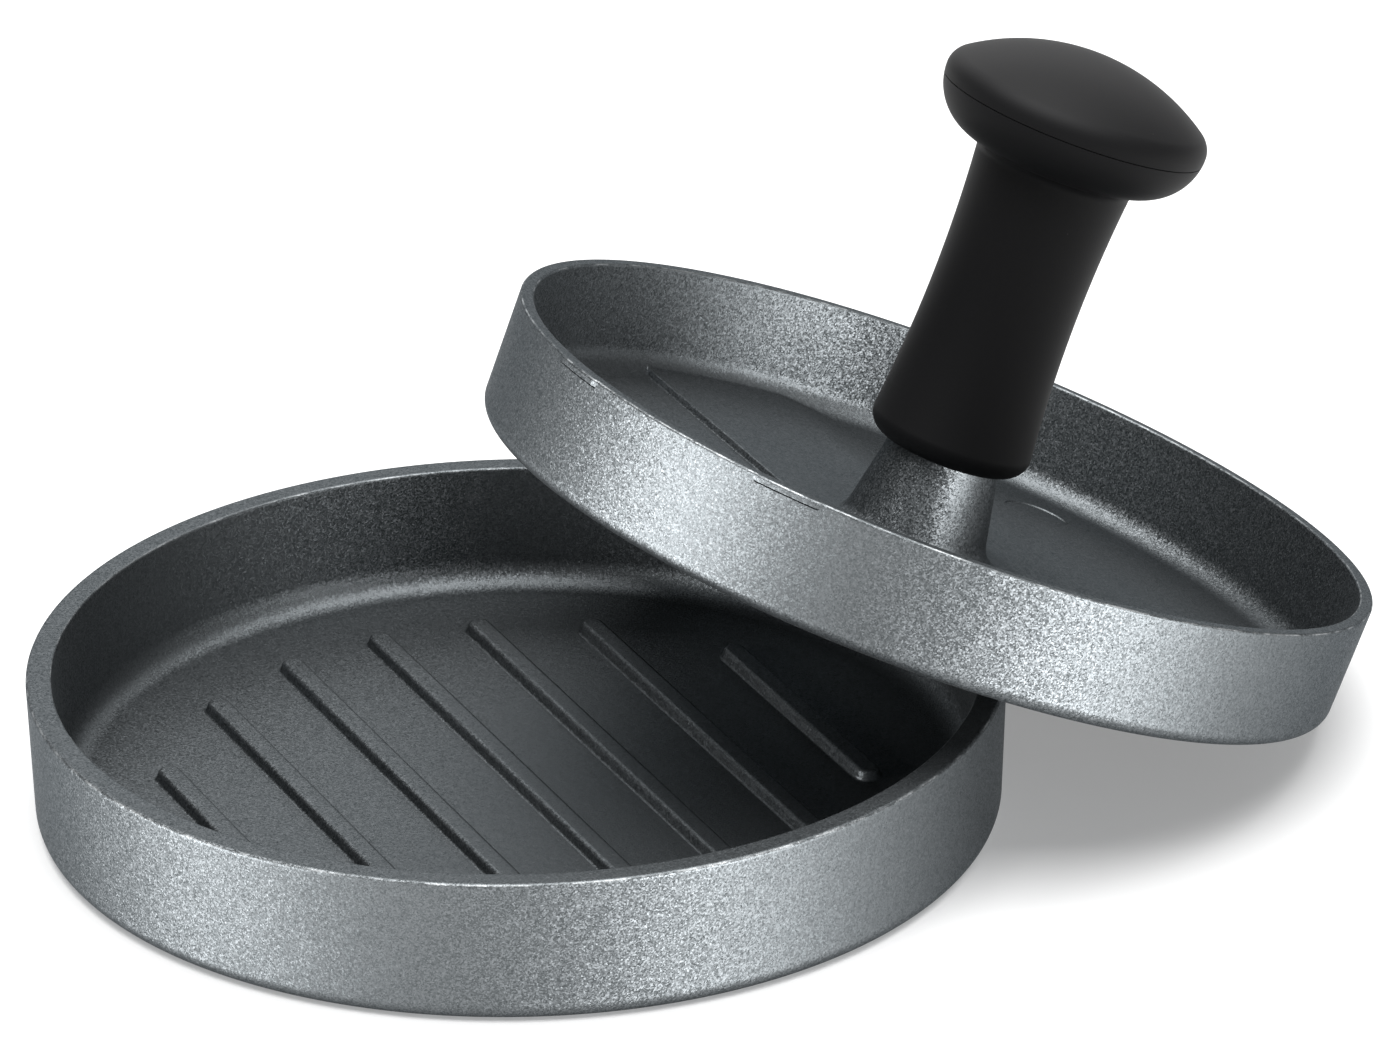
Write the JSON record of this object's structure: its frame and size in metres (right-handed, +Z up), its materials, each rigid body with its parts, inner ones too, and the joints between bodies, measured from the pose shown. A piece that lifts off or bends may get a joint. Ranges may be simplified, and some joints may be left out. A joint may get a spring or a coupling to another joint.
{
  "type": "patty press",
  "caption": "Hand patty press: a round ribbed pan with a loose ribbed press plate propped on its rim, lifted and pushed by a knobbed stem handle.",
  "frame": {"origin": "centre of the pan's flat underside, on the table", "axes": "+Z up; +X towards the side where the press plate leans down to the table; the tilt is about Y"},
  "size_m": [0.1781, 0.125, 0.0896],
  "materials": {
    "coated_aluminium": "cast aluminium under a grey metallic non-stick coating, fine grain and sparkle",
    "soft_touch": "matte black soft-touch skin",
    "core_plastic": "moulded black glass-filled plastic",
    "plated_steel": "zinc-plated steel"
  },
  "bodies": {
    "base": {"base_pan": "coated_aluminium"},
    "plate": {"press_plate": "coated_aluminium"},
    "washers": {"flat_washer": "plated_steel", "spring_washer": "plated_steel"},
    "handle": {"handle_core": "core_plastic", "grip_sleeve": "soft_touch", "knob_cap": "soft_touch", "handle_screw": "plated_steel"}
  },
  "joints": [
    {"name": "plate_lift", "type": "slide", "parent": "base", "child": "plate", "axis": [0, 0, 1], "range_m": [0, 0.1]},
    {"name": "handle_rise", "type": "slide", "parent": "plate", "child": "washers", "axis": [0.3907, 0, 0.9205], "range_m": [0, 0.0121]},
    {"name": "handle_unscrew", "type": "hinge", "parent": "washers", "child": "handle", "pos_m": [0.0621, 0, 0.03842], "axis": [0.3907, 0, 0.9205], "range_deg": [0, 4320]}
  ],
  "couplings": [
    {"joint": "handle_rise", "follows": "handle_unscrew", "m_per_rad": 0.00015915}
  ]
}
